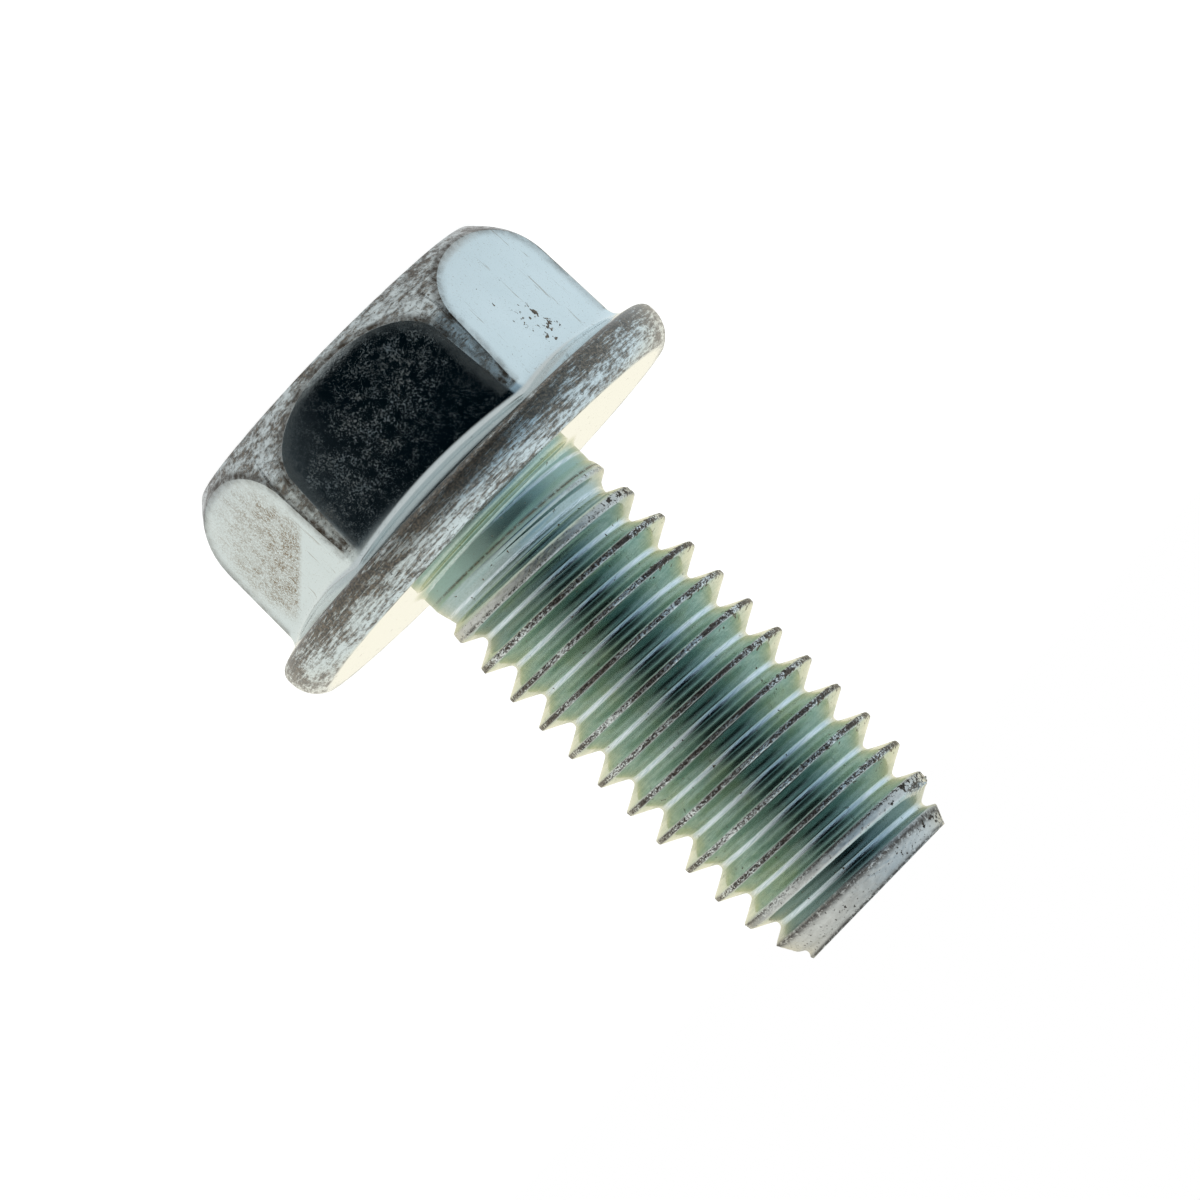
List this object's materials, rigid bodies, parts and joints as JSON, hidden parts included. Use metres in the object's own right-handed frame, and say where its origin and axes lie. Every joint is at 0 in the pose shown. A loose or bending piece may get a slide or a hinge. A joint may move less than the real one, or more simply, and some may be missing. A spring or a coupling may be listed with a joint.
{
  "type": "hex flange screw",
  "caption": "Hex flange screw with a domed hexagon head, a round flange forged with it and a shank threaded up to the neck, ending in a chamfered point.",
  "frame": {"origin": "centre of the flat top of the head, on which the screw stands", "axes": "+Z along the axis from the head to the point; -Y is the side that the picture shows"},
  "size_m": [0.0128, 0.0128, 0.0186],
  "materials": {
    "zinc": "blue-passivated zinc plating over steel, rubbed and speckled on the crown, the rim and the crests"
  },
  "bodies": {
    "root": {"flange_screw": "zinc"}
  },
  "joints": []
}
